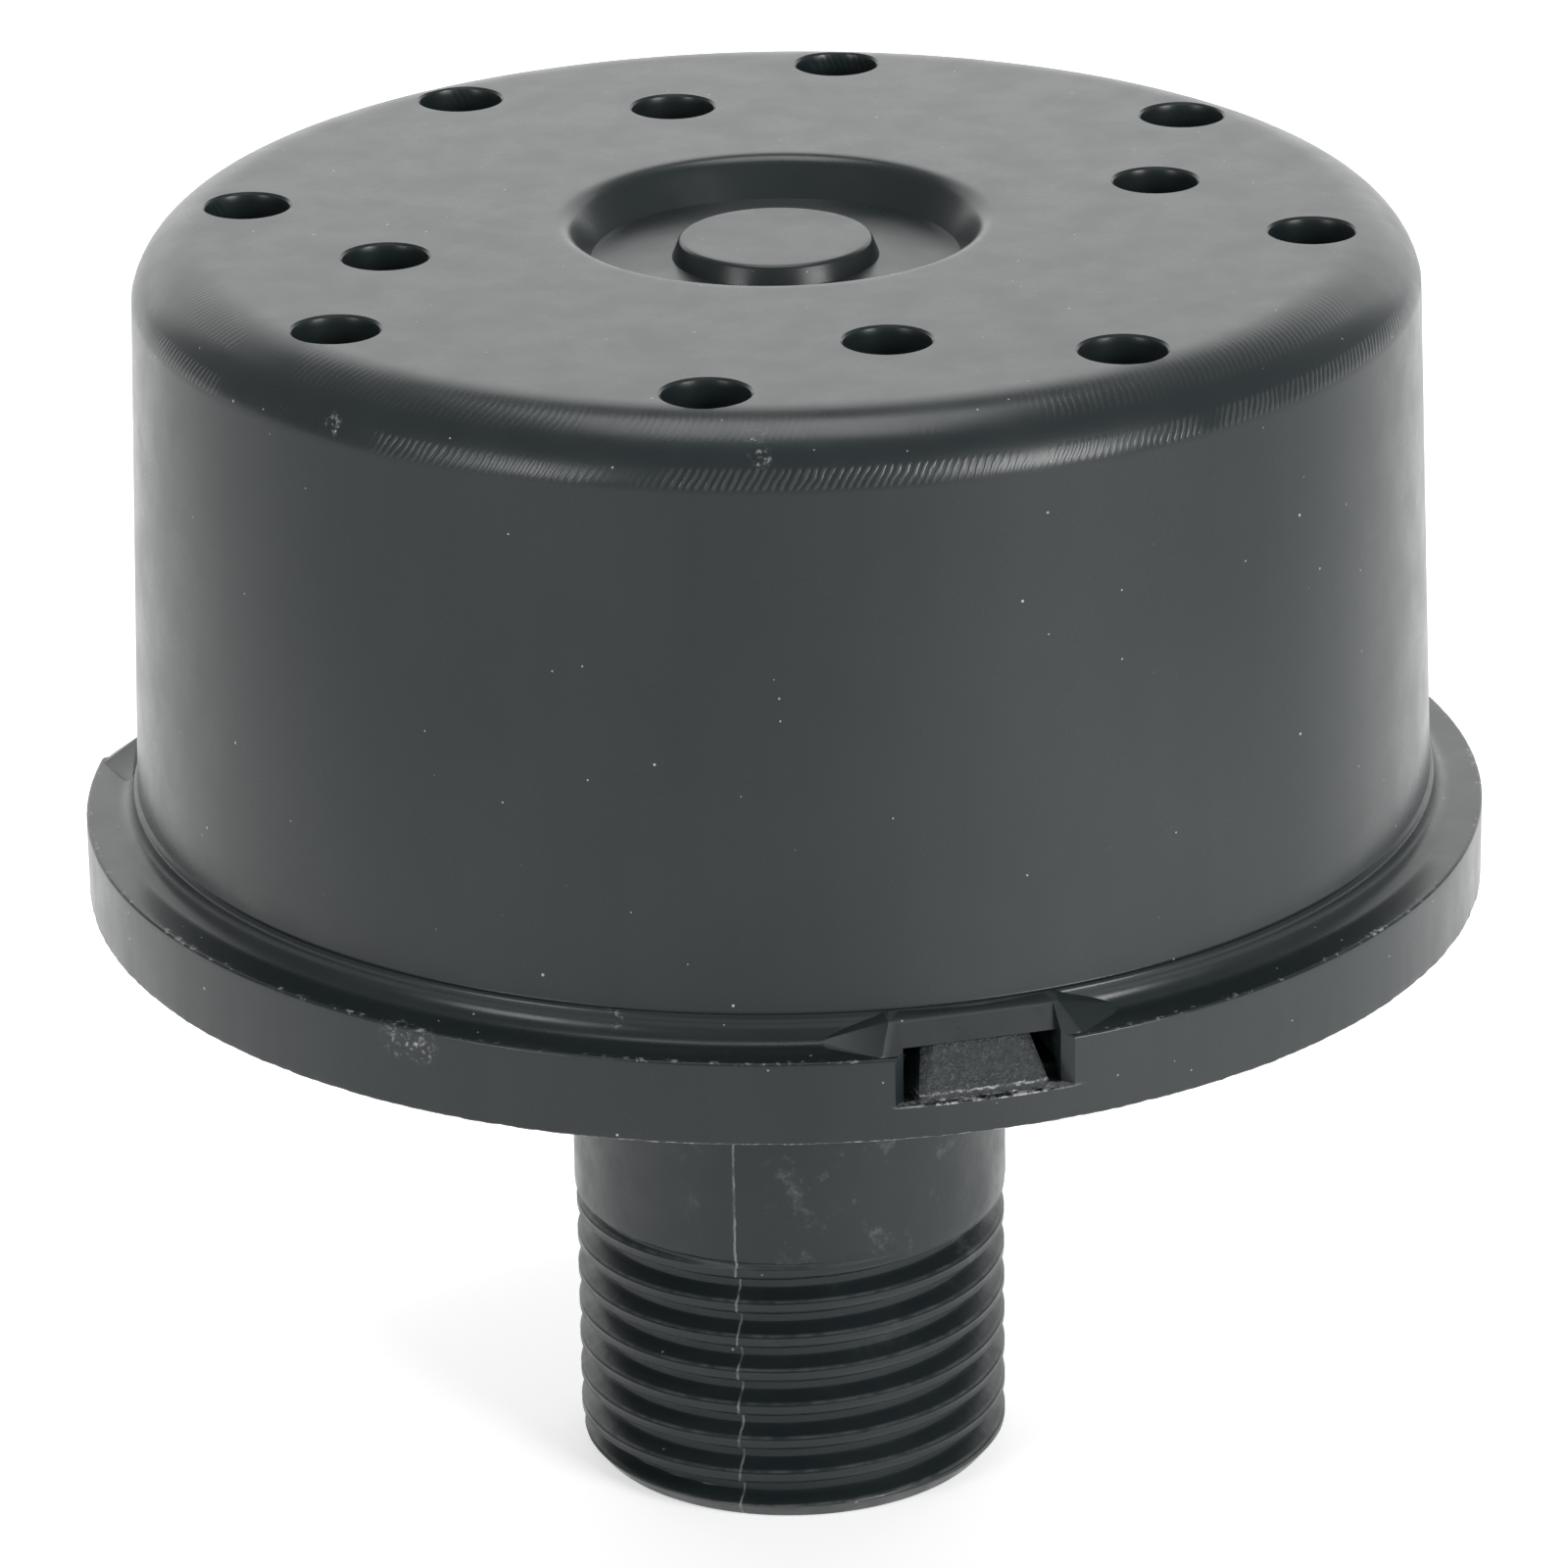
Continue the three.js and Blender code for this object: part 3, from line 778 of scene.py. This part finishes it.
class Recipe:
    """A material in the making. Its lengths are millimetres in the CAD frame."""

    def __init__(self, name):
        self.material = bpy.data.materials.new(name)
        self.material.use_nodes = True
        self.tree = self.material.node_tree
        self.surface = self.tree.nodes["Principled BSDF"]
        coordinates = self.tree.nodes.new("ShaderNodeTexCoord")
        scaled = self.tree.nodes.new("ShaderNodeVectorMath")
        scaled.operation = "SCALE"
        scaled.inputs["Scale"].default_value = 1 / MM
        self.tree.links.new(coordinates.outputs["Object"], scaled.inputs[0])
        self.place = scaled.outputs[0]
        split = self.tree.nodes.new("ShaderNodeSeparateXYZ")
        self.feed(split.inputs[0], self.place)
        self.x, self.y, self.z = split.outputs
        self.angle = self.math("ARCTAN2", self.y, self.x)
        squares = self.plus(self.times(self.x, self.x), self.times(self.y, self.y))
        self.radius = self.math("SQRT", squares)

    def feed(self, socket, value):
        if isinstance(value, bpy.types.NodeSocket):
            self.tree.links.new(value, socket)
        else:
            socket.default_value = value

    def math(self, operation, first, second=0.0, third=0.0):
        node = self.tree.nodes.new("ShaderNodeMath")
        node.operation = operation
        for socket, value in zip(node.inputs, (first, second, third)):
            self.feed(socket, value)
        return node.outputs[0]

    def times(self, *values):
        product = values[0]
        for value in values[1:]:
            product = self.math("MULTIPLY", product, value)
        return product

    def plus(self, *values):
        total = values[0]
        for value in values[1:]:
            total = self.math("ADD", total, value)
        return total

    def stretched(self, along_x, along_y, along_z):
        node = self.tree.nodes.new("ShaderNodeVectorMath")
        node.operation = "MULTIPLY"
        self.feed(node.inputs[0], self.place)
        node.inputs[1].default_value = (along_x, along_y, along_z)
        return node.outputs[0]

    def noise(self, per_mm, detail=2, roughness=0.5, where=None):
        """Noise of 0 to 1, with `per_mm` lumps in a millimetre."""
        node = self.tree.nodes.new("ShaderNodeTexNoise")
        self.feed(node.inputs["Vector"], where or self.place)
        node.inputs["Scale"].default_value = per_mm
        node.inputs["Detail"].default_value = detail
        node.inputs["Roughness"].default_value = roughness
        return node.outputs["Fac"]

    def step(self, value, start, end, low=0.0, high=1.0):
        """Smoothly from `low` at `start` to `high` at `end`."""
        node = self.tree.nodes.new("ShaderNodeMapRange")
        node.interpolation_type = "SMOOTHSTEP"
        self.feed(node.inputs["Value"], value)
        node.inputs["From Min"].default_value = start
        node.inputs["From Max"].default_value = end
        node.inputs["To Min"].default_value = low
        node.inputs["To Max"].default_value = high
        return node.outputs["Result"]

    def band(self, value, low, high, edge):
        """1 between `low` and `high`, 0 from `edge` outside them."""
        rising = self.step(value, low - edge, low)
        falling = self.step(value, high, high + edge, 1.0, 0.0)
        return self.times(rising, falling)

    def near(self, point, reach):
        """1 at a point in millimetres, 0 from `reach` away."""
        node = self.tree.nodes.new("ShaderNodeVectorMath")
        node.operation = "DISTANCE"
        self.feed(node.inputs[0], self.place)
        node.inputs[1].default_value = point
        return self.step(node.outputs["Value"], reach * 0.3, reach, 1.0, 0.0)

    def specks(self, per_mm, size, share):
        """Scattered dust specks of about `size` cell widths, in a share of the cells."""
        node = self.tree.nodes.new("ShaderNodeTexVoronoi")
        self.feed(node.inputs["Vector"], self.place)
        node.inputs["Scale"].default_value = per_mm
        chosen = self.tree.nodes.new("ShaderNodeSeparateColor")
        self.feed(chosen.inputs[0], node.outputs["Color"])
        present = self.math("LESS_THAN", chosen.outputs[0], share)
        spot = self.step(node.outputs["Distance"], size * 0.5, size, 1.0, 0.0)
        return self.times(spot, present)

    def mix(self, factor, first, second):
        node = self.tree.nodes.new("ShaderNodeMix")
        node.data_type = "RGBA"
        self.feed(node.inputs[0], factor)
        self.feed(node.inputs[6], first)
        self.feed(node.inputs[7], second)
        return node.outputs[2]

    def bumped(self, height, depth):
        """Adds relief: `height` of 0 to 1 stands for `depth` millimetres."""
        node = self.tree.nodes.new("ShaderNodeBump")
        node.inputs["Distance"].default_value = depth * MM
        self.feed(node.inputs["Height"], height)
        self.feed(self.surface.inputs["Normal"], node.outputs[0])

    def finished(self, colour, roughness):
        self.feed(self.surface.inputs["Base Color"], colour)
        self.feed(self.surface.inputs["Roughness"], roughness)
        return self.material


def grey(value, cool=0.0):
    """A linear grey, a little bluer and greener as `cool` grows."""
    return (value * (1 - cool), value * (1 + 0.2 * cool), value * (1 + 0.5 * cool), 1.0)


PLASTIC_LIGHT = grey(0.018, 0.24)
PLASTIC_DARK = grey(0.013, 0.3)
PLASTIC_SHEEN = 0.37
# The pale of dust, chips, scuffs and seams; the same colour also paints glints on the cover's tool marks
# and highlight lines along the thread's crest edges.
DUST_AND_GLINT = grey(0.42)
FLOOR_GLOW = 0.05


# ---- materials ---------------------------------------------------------------------------


def plastic_base(recipe):
    """The clouded colour of the moulded plastic and its fine grain."""
    clouds = recipe.noise(0.09, 3, 0.55)
    streaks = recipe.noise(1.0, 3, 0.6, recipe.stretched(0.5, 0.5, 0.05))
    mottle = recipe.plus(recipe.times(clouds, 0.7), recipe.times(streaks, 0.3))
    colour = recipe.mix(recipe.step(mottle, 0.25, 0.75), PLASTIC_DARK, PLASTIC_LIGHT)
    recipe.surface.inputs["Specular IOR Level"].default_value = PLASTIC_SHEEN
    grain = recipe.noise(7.0, 3, 0.6)
    return colour, grain


def edge_chips(recipe, height, radius, spread, scarcity):
    """Pale chipped spots along an edge at a height, outside a radius."""
    line = recipe.band(recipe.z, height - spread, height + spread, 0.05)
    outside = recipe.step(recipe.radius, radius - 0.1, radius)
    broken = recipe.step(recipe.noise(1.7, 5, 0.7), scarcity, scarcity + 0.12)
    return recipe.times(line, outside, broken)


def chatter_marks(recipe):
    """Fine slanted tool marks that the mould left low on the crown's fillet, and fainter ones high on
    it. Their relief is real; the cover also tints them pale, as painted glints along the fillet's
    highlights.
    """
    arc = recipe.times(recipe.angle, WALL_HEAD)
    wobble = recipe.times(recipe.noise(0.9, 2), 1.1)
    slant = recipe.plus(recipe.times(arc, 2.7), recipe.times(recipe.z, -1.5), wobble)
    ripple = recipe.math("SINE", recipe.times(slant, FULL_TURN))
    patches = recipe.step(recipe.noise(0.16, 2), 0.4, 0.52)
    low_band = recipe.band(recipe.z, WALL_TOP + 0.12, WALL_TOP + 0.75, 0.2)
    high_band = recipe.band(recipe.z, WALL_TOP + 1.9, WALL_TOP + 2.5, 0.2)
    bands = recipe.plus(low_band, recipe.times(high_band, 0.3))
    inner = WALL_HEAD - CROWN_FILLET
    on_fillet = recipe.step(recipe.radius, inner - 0.5, inner)
    return recipe.times(recipe.step(ripple, -0.3, 0.8), patches, bands, on_fillet)


# Marks on the cover, as (angle in degrees, height, radius, reach, strength).
COVER_BLEMISHES = [
    (-107.2, 62.2, 28.6, 0.7, 0.6),
    (-106.8, 61.4, 29.5, 0.7, 0.5),
    (-146.5, 60.8, 29.9, 0.7, 0.5),
    (-134.6, 33.7, 33.4, 1.1, 0.5),
    (-136.6, 33.9, 33.4, 1.3, 0.4),
    (-119.5, 35.4, 31.1, 0.6, 0.5),
]


def cover_plastic():
    """Moulded plastic with tool marks, dust, scuffs and chipped edges, and painted glints tinted pale on
    the tool marks.
    """
    recipe = Recipe("cover_plastic")
    colour, grain = plastic_base(recipe)
    dust = recipe.math("MAXIMUM", recipe.specks(0.42, 0.037, 1.0), recipe.specks(0.8, 0.045, 0.5))
    chatter_and_glints = chatter_marks(recipe)
    chips = recipe.times(edge_chips(recipe, SKIRT_TOP, SKIRT_RADIUS - 0.3, 0.05, 0.54), 0.45)
    burrs = recipe.times(edge_chips(recipe, SKIRT_BOTTOM, SKIRT_RADIUS - 0.5, 0.06, 0.46), 0.5)
    windows = [recipe.near(at(SKIRT_RADIUS, angle, SILL) / MM, 5.2) for angle in SNAP_ANGLES]
    sill = recipe.times(edge_chips(recipe, SILL, SKIRT_RADIUS - 0.8, 0.04, 0.46), 0.8)
    sill = recipe.times(sill, recipe.plus(*windows))
    blemishes = []
    for angle, height, radius, reach, strength in COVER_BLEMISHES:
        place = at(radius, math.radians(angle), height) / MM
        torn = recipe.step(recipe.noise(3.5, 4, 0.7), 0.5, 0.7)
        blemishes.append(recipe.times(recipe.near(place, reach), torn, strength))
    # Painted glints: the tool marks are tinted a little pale along the fillet's highlight bands.
    colour = recipe.mix(recipe.times(chatter_and_glints, 0.05), colour, DUST_AND_GLINT)
    pale = recipe.plus(recipe.times(dust, 0.8), chips, burrs, sill, *blemishes)
    colour = recipe.mix(recipe.math("MINIMUM", pale, 1.0), colour, DUST_AND_GLINT)
    relief = recipe.plus(recipe.times(grain, 0.15), chatter_and_glints, *blemishes)
    recipe.bumped(relief, 0.01)
    patchy = recipe.step(recipe.noise(0.35, 4, 0.6), 0.3, 0.7, 0.26, 0.32)
    return recipe.finished(colour, recipe.plus(patchy, recipe.times(pale, 0.3)))


def base_plastic():
    """Moulded plastic with a mould seam, painted highlight lines along the thread's crest edges and pale
    smears.
    """
    recipe = Recipe("base_plastic")
    colour, grain = plastic_base(recipe)
    dust = recipe.specks(0.7, 0.07, 0.4)
    seam_marks = []
    wander = recipe.times(recipe.plus(recipe.noise(1.1, 3, 0.7), -0.5), 0.02)
    for seam in SEAM_ANGLES:
        away = recipe.math("ABSOLUTE", recipe.plus(recipe.angle, -seam, wander))
        seam_marks.append(recipe.step(away, 0.002, 0.009, 1.0, 0.0))
    broken = recipe.step(recipe.noise(1.6, 3), 0.4, 0.6, 0.3, 1.0)
    on_spigot = recipe.step(recipe.radius, SPIGOT_RADIUS + 0.5, SPIGOT_RADIUS + 0.2)
    seam = recipe.times(recipe.math("MAXIMUM", *seam_marks), broken, on_spigot, 0.3)
    turns = recipe.plus(
        recipe.times(recipe.plus(recipe.z, -VALLEY_HEIGHT), 1 / THREAD_PITCH),
        recipe.times(recipe.plus(recipe.angle, -VALLEY_ANGLE), -1 / FULL_TURN),
    )
    always_positive = recipe.plus(turns, 20)
    from_crest = recipe.math("ABSOLUTE", recipe.plus(recipe.math("FRACT", always_positive), -0.5))
    # Painted highlight lines along the edges of the thread's crests, their strength broken up by noise.
    crest_edge = recipe.band(from_crest, 0.145, 0.175, 0.02)
    threaded = recipe.step(recipe.z, THREAD_TOP - 0.4, THREAD_TOP - 0.6)
    highlight_breaks = recipe.step(recipe.noise(1.2, 4, 0.6), 0.35, 0.65, 0.3, 1.0)
    outside = recipe.step(recipe.radius, THREAD_CREST - 0.3, THREAD_CREST - 0.1)
    crest_highlights = recipe.times(crest_edge, outside, threaded, highlight_breaks, 0.12)
    smear = recipe.step(recipe.noise(0.35, 5, 0.7), 0.56, 0.72)
    smear = recipe.times(smear, recipe.near((3, -10, 20), 14), 0.16)
    pale = recipe.plus(recipe.times(dust, 0.5), seam, crest_highlights, smear)
    colour = recipe.mix(recipe.math("MINIMUM", pale, 1.0), colour, DUST_AND_GLINT)
    recipe.bumped(recipe.plus(recipe.times(grain, 0.3), recipe.noise(1.5, 4)), 0.015)
    roughness = recipe.step(recipe.noise(0.6, 3), 0.3, 0.7, 0.3, 0.42)
    return recipe.finished(colour, roughness)


def hook_plastic():
    """Rough where the teeth rub on the cover, with two ragged pale lines along their foot."""
    recipe = Recipe("hook_plastic")
    colour, grain = plastic_base(recipe)
    torn = recipe.step(recipe.noise(4.5, 5, 0.75), 0.5, 0.75)
    colour = recipe.mix(recipe.times(torn, 0.16), colour, DUST_AND_GLINT)
    ragged = recipe.times(recipe.plus(recipe.noise(2.6, 5, 0.75), -0.5), 0.5)
    height = recipe.plus(recipe.z, ragged)
    low_line = recipe.band(height, SILL - 0.05, SILL + 0.1, 0.03)
    high_line = recipe.times(recipe.band(height, SILL + 0.4, SILL + 0.46, 0.04), 0.7)
    broken = recipe.step(recipe.noise(1.9, 5, 0.7), 0.42, 0.62, 0.05, 0.85)
    outside = recipe.step(recipe.radius, DISC_RADIUS + 0.2, DISC_RADIUS + 0.6)
    lines = recipe.times(recipe.math("MAXIMUM", low_line, high_line), broken, outside)
    colour = recipe.mix(lines, colour, DUST_AND_GLINT)
    recipe.bumped(recipe.plus(grain, recipe.noise(3.5, 5, 0.7)), 0.05)
    return recipe.finished(colour, recipe.step(recipe.noise(1.5, 3), 0.3, 0.7, 0.35, 0.5))


def filter_paper():
    recipe = Recipe("filter_paper")
    cream, stained = (0.72, 0.62, 0.42, 1), (0.5, 0.4, 0.25, 1)
    colour = recipe.mix(recipe.step(recipe.noise(0.2, 4), 0.35, 0.75), cream, stained)
    fibres = recipe.noise(3.0, 5, 0.7, recipe.stretched(1.0, 1.0, 0.3))
    colour = recipe.mix(recipe.times(fibres, 0.3), colour, (0.85, 0.78, 0.6, 1))
    recipe.bumped(fibres, 0.06)
    return recipe.finished(colour, recipe.step(fibres, 0.2, 0.8, 0.85, 0.95))


def zinc_steel():
    recipe = Recipe("zinc_steel")
    spangle = recipe.noise(0.5, 4, 0.7)
    colour = recipe.mix(recipe.step(spangle, 0.3, 0.7), (0.5, 0.51, 0.5, 1), (0.66, 0.67, 0.66, 1))
    scratches = recipe.noise(2.0, 3, 0.6, recipe.stretched(4.0, 0.4, 1.0))
    recipe.surface.inputs["Metallic"].default_value = 1.0
    recipe.bumped(scratches, 0.008)
    return recipe.finished(colour, recipe.step(spangle, 0.25, 0.75, 0.28, 0.45))


def gasket_rubber():
    recipe = Recipe("gasket_rubber")
    bloom = recipe.noise(0.4, 4, 0.6)
    colour = recipe.mix(recipe.step(bloom, 0.4, 0.7), grey(0.012), grey(0.03))
    recipe.bumped(recipe.noise(5.0, 3), 0.02)
    return recipe.finished(colour, recipe.step(bloom, 0.3, 0.7, 0.6, 0.8))


def floor_white():
    """A pale floor that glows most behind the part and beside the two front lights."""
    recipe = Recipe("floor_white")
    colour = recipe.mix(recipe.noise(0.02, 2), grey(0.88), grey(0.9))
    behind = recipe.near(Vector(around(75, 130, 0)), 300)
    left = recipe.near(Vector(around(-165, 150, 0)), 130)
    right = recipe.near(Vector(around(-57, 150, 0)), 115)
    far = recipe.step(recipe.radius, 250, 500)
    patches = recipe.plus(recipe.times(behind, 0.5), recipe.times(left, 0.15), recipe.times(right, 0.75))
    patches = recipe.plus(patches, recipe.times(far, 0.55))
    recipe.surface.inputs["Emission Color"].default_value = (1, 1, 1, 1)
    recipe.feed(recipe.surface.inputs["Emission Strength"], recipe.plus(patches, FLOOR_GLOW))
    return recipe.finished(colour, 0.8)


# ---- staging --------------------------------------------------------------------------


def build_floor():
    """A wide pale floor, a hair below the spigot's end."""
    size = 3
    gap = 0.05 * MM
    mesh = bmesh.new()
    cells = 12
    bmesh.ops.create_grid(mesh, x_segments=cells, y_segments=cells, size=size)
    bmesh.ops.translate(mesh, vec=Vector((0, 0, -gap)), verts=mesh.verts)
    floor = piece_from("floor", mesh)
    floor.data.materials.append(floor_white())


def softbox(name, place, target, size, radiance, tall=None):
    """A rectangular soft light at a place in metres, facing a target."""
    tall = tall or size
    light = bpy.data.lights.new(name, "AREA")
    light.shape = "RECTANGLE"
    light.size = size
    light.size_y = tall
    light.energy = radiance * math.pi * size * tall
    lamp = bpy.data.objects.new(name, light)
    lamp.location = place
    facing = Vector(target) - Vector(place)
    lamp.rotation_euler = facing.to_track_quat("-Z", "Y").to_euler()
    bpy.context.scene.collection.objects.link(lamp)


def build_lights():
    """Four soft lights and an even glow all round."""
    middle = (0, 0, 0.045)
    softbox("overhead", around(75, 0.09, 0.66), middle, size=0.36, radiance=4.6)
    softbox("back_panel", around(75, 0.75, 0.33), middle, size=1.5, radiance=1.4, tall=0.6)
    softbox("front_left", around(-150, 0.6, 0.25), middle, size=0.22, radiance=7.5, tall=0.2)
    softbox("front_right", around(-60, 0.6, 0.25), middle, size=0.26, radiance=17, tall=0.2)
    world = bpy.data.worlds.new("studio")
    world.use_nodes = True
    background = world.node_tree.nodes["Background"]
    background.inputs["Color"].default_value = (1, 1, 1, 1)
    background.inputs["Strength"].default_value = 0.36
    bpy.context.scene.world = world


def build_camera():
    """The photograph's viewpoint, turned a little so that the part sits as it does there."""
    elevation, azimuth = math.radians(22.24), math.radians(-15.26)
    distance = 0.3765
    aim_height = 0.032
    pitch, roll = math.radians(0.327), math.radians(0.895)
    level = math.cos(elevation)
    back = Vector((math.sin(azimuth) * level, -math.cos(azimuth) * level, math.sin(elevation)))
    right = Vector((0, 0, 1)).cross(back).normalized()
    up = back.cross(right)
    place = Vector((0, 0, aim_height)) + back * distance
    axes = Matrix((right, up, back)).transposed()
    axes = axes @ Matrix.Rotation(pitch, 3, "X") @ Matrix.Rotation(-roll, 3, "Z")
    camera = bpy.data.cameras.new("camera")
    camera.lens = 179.6
    camera.sensor_width = 36
    camera.clip_start = 0.01
    viewer = bpy.data.objects.new("camera", camera)
    viewer.matrix_world = Matrix.Translation(place) @ axes.to_4x4()
    bpy.context.scene.collection.objects.link(viewer)
    bpy.context.scene.camera = viewer


# ---- assembly --------------------------------------------------------------------------

housing, steel = "housing_plastic", "element_steel"
moulded = base_plastic()
teeth = hook_plastic()
zinc = zinc_steel()
finish_piece(build_cover(), "cover", housing, cover_plastic(), "cover")
finish_piece(build_base(), "base", housing, moulded, "base")
for number in range(SNAP_COUNT):
    node = f"snap_hook_{number + 1}"
    finish_piece(build_hook(number), node, housing, teeth, node)
finish_piece(build_gasket(), "base", "gasket_rubber", gasket_rubber(), "base_gasket")
finish_piece(build_lower_cap(), "element", steel, zinc, "element_lower_cap")
finish_piece(build_upper_cap(), "element", steel, zinc, "element_upper_cap")
finish_piece(build_core(), "element", steel, zinc, "element_core")
finish_piece(build_paper(), "element", "filter_paper", filter_paper(), "element_paper")

build_floor()
build_lights()
build_camera()
bpy.context.scene.view_settings.view_transform = "Standard"
